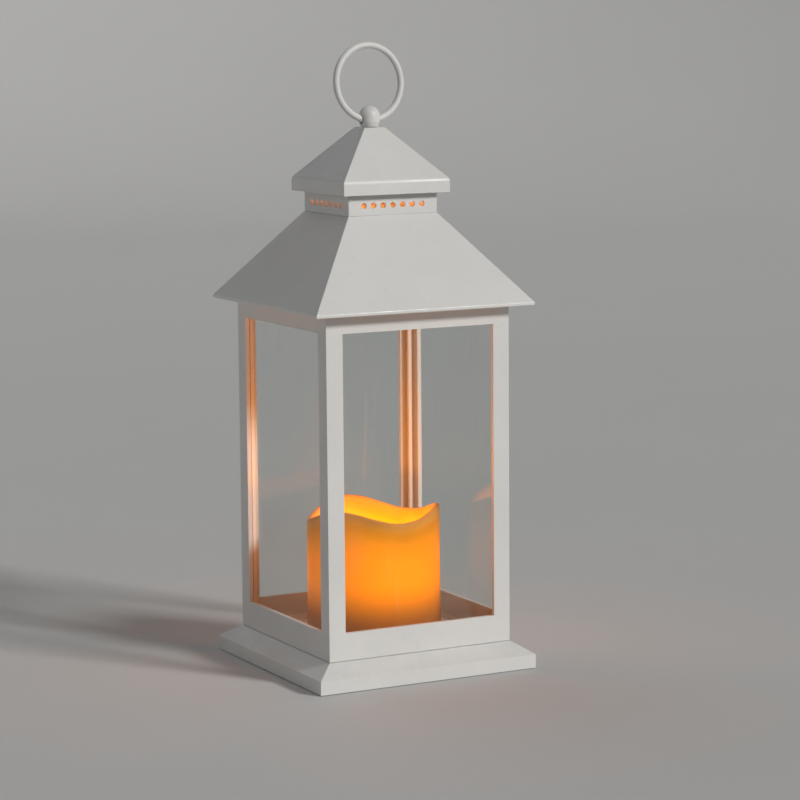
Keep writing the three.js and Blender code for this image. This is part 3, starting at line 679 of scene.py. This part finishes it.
def make_board():
    """A board with an eight-legged chip, a small resistor, a can capacitor and solder at its corners."""
    low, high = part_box("circuit_board")
    bottom = low.z / MM
    top = bottom + 1.6
    half_x, half_y = high.x / MM, high.y / MM
    bm = slab(bmesh.new(), (-half_x, -half_y, bottom), (half_x, half_y, top), 0.15, 0)
    chip_from, chip_to, chip_half, chip_height = 6, 11, 2, 1.5
    slab(bm, (chip_from, -chip_half, top), (chip_to, chip_half, top + chip_height), 0.15, 1)
    pin, pin_reach, pin_pitch = 0.2, 2.9, 1.27
    for i in range(4):
        x = chip_from + 0.6 + pin_pitch * i
        for near, far in ((chip_half, pin_reach), (-pin_reach, -chip_half)):
            slab(bm, (x - pin, near, top), (x + pin, far, top + 0.5), 0.05, 2)
    front, back = -5, -3.4
    slab(bm, (-10.5, front, top), (-8.5, back, top + 0.6), 0.08, 1)
    for x in (-11, -8.5):
        slab(bm, (x, front, top), (x + 0.5, back, top + 0.62), 0.08, 2)
    can_radius, can_neck, can_top = 2.4, 2.2, top + 4.9
    can = [
        (0, top), (can_radius, top), (can_radius, top + 0.5), (can_neck, top + 0.7), (can_radius, top + 0.9),
        (can_radius, can_top - 0.3), (can_neck, can_top), (0, can_top),
    ]
    blob = [(0, top), (0.9, top), (0.6, top + 0.25), (0.35, top + 0.28), (0, top + 0.28)]
    corners = [(x, y) for x in (-12.5, 12.5) for y in (-8.5, 8.5)]
    whole = merged((bm, at()), (spin(can, 32, material=1), at(-9.5, 5)),
                   *[(spin(blob, 16, material=2), at(x, y)) for x, y in corners])
    made = new_object("circuit_board_populated", whole, [board, dark, solder])
    stands_for(made, "circuit_board", "circuit_board")


def make_cell(node, direction):
    """A cell lying along X, with its raised end towards direction."""
    low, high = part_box(node)
    radius, length = (high.z - low.z) / 2 / MM, (high.x - low.x) / MM
    can, nub_radius = length - 1.0, 2.7
    flat_end = [(0, 0.1), (4.4, 0.1), (4.7, 0), (radius - 0.9, 0), (radius - 0.5, 0.15), (radius - 0.3, 0.5)]
    rolled_film = [(radius - 0.25, 0.9), (radius - 0.05, 1.0), (radius, 1.2), (radius, can - 1.2),
                   (radius - 0.15, can - 0.5), (radius - 0.6, can - 0.15), (radius - 1.6, can - 0.1)]
    raised_end = [(nub_radius + 0.5, can - 0.25), (nub_radius + 0.05, can - 0.2), (nub_radius, length - 0.35),
                  (nub_radius - 0.3, length), (0, length)]
    bm = spin([*flat_end, *rolled_film, *raised_end], 64)
    for face in bm.faces:
        centre = face.calc_center_median() / MM
        out = math.hypot(centre.x, centre.y)
        on_side = 0.95 < centre.z < can - 0.12 and out > 3.3
        on_shoulder = out > 5 and centre.z > can - 1
        face.material_index = 0 if on_side or on_shoulder else 1
    turn = Matrix.Rotation(direction * math.pi / 2, 4, "Y")
    start = low.x / MM if direction > 0 else high.x / MM
    middle = middle_of(node)
    moved(bm, at(start, middle.y, middle.z) @ turn)
    cell = new_object(node + "_wrapped", bm, [sleeve, steel])
    stands_for(cell, "cell_sleeve", node)


def make_spring(node, direction):
    """A flattened cone of wire that presses on a cell's flat end, level with the cell beside it."""
    low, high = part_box(node)
    middle = middle_of(node)
    middle.y = math.copysign(middle_of("battery_1").y, middle.y)
    wire, turns, steps, sides = 0.24, 2.5, 150, 10
    wide, narrow = 4.4, 2.2
    start = (low.x if direction > 0 else high.x) / MM
    rise = (high.x - low.x) / MM - 2 * wire - 0.02
    points = []
    for i in range(steps + 1):
        share = i / steps
        angle = 2 * math.pi * turns * share
        radius = wide - (wide - narrow) * share
        x = start + direction * (wire + 0.01 + rise * share)
        points.append(Vector((x, middle.y + radius * math.sin(angle), middle.z + radius * math.cos(angle))))
    section = arc(0, 0, wire, 0, 360 - 360 / sides, sides - 1)
    spring = new_object(node + "_wound", sweep(points, section, Vector((1, 0, 0))), [steel], sharp=70)
    stands_for(spring, "steel", node)


# ---- Underside -----------------------------------------------------------------------------------


def make_door():
    """The battery door, with a nail notch and grip ribs beside it."""
    low, high = (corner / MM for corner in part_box("battery_door"))
    notch_deep, notch_wide = 2.0, 6.0
    ribs, rib_from, rib_width, rib_pitch, rib_half, rib_deep = 6, 5.2, 0.8, 2.2, 8, 0.45
    door = new_object("battery_door_ribbed", slab(bmesh.new(), low, high, 0), [white, white_edge])
    cutters = [slab(bmesh.new(), (high.x - notch_deep, -notch_wide, low.z - 1),
                    (high.x + 1, notch_wide, low.z + 0.9), 0)]
    for i in range(ribs):
        x = high.x - rib_from - rib_pitch * i
        cutters.append(slab(bmesh.new(), (x - rib_width, -rib_half, low.z - 1),
                            (x, rib_half, low.z + rib_deep), 0))
    carve(door, cutters)
    soften(door, 0.14, 2)
    stands_for(door, "white_plastic", "battery_door", body="battery_door")


def make_slider():
    """The switch's thumb piece, with grip ridges, on a shoe that is wider than its slot."""
    low, high = (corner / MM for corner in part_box("switch_slider"))
    shoe_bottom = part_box("switch_body")[0].z / MM
    inset = 1.0
    bm = slab(bmesh.new(), (low.x, low.y, shoe_bottom), high, 0.15)
    slab(bm, (low.x, low.y + inset, low.z + 0.35), (high.x, high.y - inset, shoe_bottom + 0.4), 0.1)
    ridges = 4
    pitch = (high.x - low.x) / ridges
    for i in range(ridges):
        x = low.x + pitch * (i + 0.5)
        slab(bm, (x - 0.3, low.y + inset + 0.1, low.z), (x + 0.3, high.y - inset - 0.1, low.z + 0.6), 0.1)
    slider = new_object("switch_thumb_piece", bm, [dark])
    stands_for(slider, "dark_plastic", "switch_slider", body="switch_slider")


def make_foot(node):
    """A round rubber foot with a shallow dished face and a rolled edge."""
    low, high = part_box(node)
    middle = middle_of(node)
    radius, height, edge = (high.x - low.x) / 2 / MM, (high.z - low.z) / MM, 0.6
    outline = [
        (0, 0.25), (radius - 1.5, 0.2), *arc(radius - 0.3 - edge, edge, edge, -110, -10, 6),
        (radius, height - 0.3), (radius - 0.2, height), (0, height),
    ]
    bm = moved(spin(outline, 48), at(middle.x, middle.y, low.z / MM))
    foot = new_object(node + "_rubber", bm, [rubber])
    stands_for(foot, "rubber", node)


SCREW_HEAD, SCREW_HEAD_HEIGHT, SCREW_SHANK, SCREW_CORE, SCREW_PITCH = 2.2, 1.3, 1.1, 0.82, 0.9


def screw_mesh(length):
    """A pan-head screw with a cross recess and a cut thread, head down, as long as its CAD node."""
    sides, rows_per_turn = 20, 5
    head = [(0, 0.12), *arc(SCREW_HEAD - 0.55, 0.55, 0.55, -88, 0, 5), (SCREW_HEAD, SCREW_HEAD_HEIGHT - 0.15),
            (SCREW_HEAD - 0.15, SCREW_HEAD_HEIGHT), (SCREW_CORE + 0.12, SCREW_HEAD_HEIGHT)]
    start, end = SCREW_HEAD_HEIGHT + 0.3, length - 1.4
    rows = int((end - start) / SCREW_PITCH * rows_per_turn)
    shank = [(SCREW_CORE, start + (end - start) * i / rows) for i in range(rows + 1)]
    outline = [*head, *shank, (0.4, length - 0.35), (0, length)]

    def thread(angle, radius, height, row):
        if not len(head) <= row < len(head) + rows:
            return radius, height
        turn = (height / SCREW_PITCH - angle / (2 * math.pi)) % 1.0
        ridge = max(0.0, 1 - abs(turn - 0.5) / 0.28)
        fade = min(1.0, (height - start) / 0.8, (end - height) / 0.8 + 0.05)
        return SCREW_CORE + (SCREW_SHANK - SCREW_CORE) * ridge * max(fade, 0.0), height

    body = new_object("screw", spin(outline, sides, thread), [steel], sharp=40)
    arms = [slab(bmesh.new(), (-x, -y, -1), (x, y, 0.75), 0) for x, y in ((1.2, 0.26), (0.26, 1.2))]
    carve(body, arms)
    mesh = body.data
    mesh.name = "screw"
    bpy.data.objects.remove(body)
    return mesh


def make_screws():
    """One mesh for each length, shared by the screws of that length."""
    made = {}
    for node in sorted(nodes):
        if "_screw_" not in node:
            continue
        low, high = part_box(node)
        length = round((high.z - low.z) / MM, 3)
        if length not in made:
            made[length] = screw_mesh(length)
        screw = bpy.data.objects.new(node + "_threaded", made[length])
        bpy.context.scene.collection.objects.link(screw)
        middle = middle_of(node) * MM
        downwards = node.startswith("box")
        screw.location = (middle.x, middle.y, high.z if downwards else low.z)
        screw.rotation_euler = (math.pi if downwards else 0.0, 0.0, 0.0)
        stands_for(screw, "steel", node)


make_vent_collar()
make_knob()
make_ring()
make_candle()
make_lamp()
make_board()
make_cell("battery_1", 1)
make_cell("battery_2", -1)
make_spring("contact_spring_1", 1)
make_spring("contact_spring_2", -1)
make_door()
make_slider()
for number in range(1, 5):
    make_foot(f"foot_{number}")
make_screws()


# ---- Stage, light and camera ---------------------------------------------------------------------


def pale_floor(name):
    """Plain pale paper. It is see-through from below, so that the lantern's underside can be looked at."""
    s = Shader(name)
    tone = s.mix(s.noise(3, 4.0), (0.60, 0.60, 0.595), (0.625, 0.625, 0.62))
    front = s.node("BsdfPrincipled", {"Base Color": tone, "Roughness": 0.85}).outputs[0]
    back = s.node("BsdfTransparent").outputs[0]
    behind = s.node("NewGeometry").outputs["Backfacing"]
    return s.finish(s.node("MixShader", {0: behind, 1: front, 2: back}).outputs[0])


def make_stage():
    """A floor whose far edge curves up all round, so that no horizon shows from any side. A square
    opening, hidden under the plinth, lets light reach the underside. Lengths here are metres."""
    opening, flat, curve, height = 0.066, 3.2, 1.2, 1.5
    sides = 96
    profile = [(opening, 0.0), *arc(flat, curve, curve, -90, 0, 12), (flat + curve, height)]
    bm = bmesh.new()
    turns = [2 * math.pi * i / sides for i in range(sides)]
    rings = [[bm.verts.new((r * math.cos(a), r * math.sin(a), z)) for a in turns] for r, z in profile]
    for vert in rings[0]:
        vert.co *= opening / max(abs(vert.co.x), abs(vert.co.y))
    for low, high in zip(rings, rings[1:]):
        for i in range(sides):
            j = (i + 1) % sides
            bm.faces.new([low[i], high[i], high[j], low[j]])
    floor = new_object("studio_floor", bm, [pale_floor("pale_floor")])


def sun(name, azimuth, elevation, spread, strength, colour):
    """Soft light from far off. Azimuth 0 stands in front of the lantern and 90 on its right."""
    light = bpy.data.lights.new(name, "SUN")
    light.angle, light.energy, light.color = math.radians(spread), strength, colour
    made = bpy.data.objects.new(name, light)
    bpy.context.scene.collection.objects.link(made)
    a, e = math.radians(azimuth), math.radians(elevation)
    towards = Vector((math.sin(a) * math.cos(e), -math.cos(a) * math.cos(e), math.sin(e)))
    made.rotation_euler = (-towards).to_track_quat("-Z", "Y").to_euler()


def glow_light(name, height, power, softness):
    """Amber light inside the lantern, on its middle line. It can't itself be seen or mirrored."""
    light = bpy.data.lights.new(name, "POINT")
    light.energy, light.color, light.shadow_soft_size = power, (1.0, 0.25, 0.002), softness * MM
    made = bpy.data.objects.new(name, light)
    made.location = (0, 0, height * MM)
    made.visible_camera = made.visible_glossy = False
    bpy.context.scene.collection.objects.link(made)


def make_lights():
    sun("key", 30, 27, 11, 2.1, (1.0, 0.985, 0.96))
    sun("back", 195, 48, 40, 0.35, (0.95, 0.97, 1.0))
    sun("under", 60, -55, 40, 1.2, (1.0, 1.0, 1.0))
    world = bpy.data.worlds.new("studio")
    bpy.context.scene.world = world
    world.use_nodes = True
    background = world.node_tree.nodes["Background"]
    background.inputs["Color"].default_value = (0.95, 0.97, 1.0, 1.0)
    background.inputs["Strength"].default_value = 0.1
    glow_light("lamp_glow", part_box("led")[1].z / MM + 6, 0.12, 4)
    glow_light("candle_glow", 118, 0.13, 22)
    glow_light("roof_glow", 256, 0.03, 10)


def make_camera():
    """The photograph's viewpoint, from its fitted position, heading, tilt and roll."""
    yaw, pitch, roll = (math.radians(x) for x in (-27.77, 7.93, -0.47))
    forward = Vector((-math.sin(yaw) * math.cos(pitch), math.cos(yaw) * math.cos(pitch), -math.sin(pitch)))
    level = Vector((math.cos(yaw), math.sin(yaw), 0))
    upright = level.cross(forward)
    right = level * math.cos(roll) + upright * math.sin(roll)
    up = upright * math.cos(roll) - level * math.sin(roll)
    data = bpy.data.cameras.new("camera")
    data.lens, data.sensor_width = 129.19, 36.0
    data.clip_start, data.clip_end = 0.05, 50
    camera = bpy.data.objects.new("camera", data)
    camera.matrix_world = Matrix.Translation((-0.76391, -1.48587, 0.38777)) @ Matrix(
        [(right[i], up[i], -forward[i]) for i in range(3)]).to_4x4()
    bpy.context.scene.collection.objects.link(camera)
    bpy.context.scene.camera = camera


make_stage()
make_lights()
make_camera()
bpy.context.scene.view_settings.view_transform = "Standard"
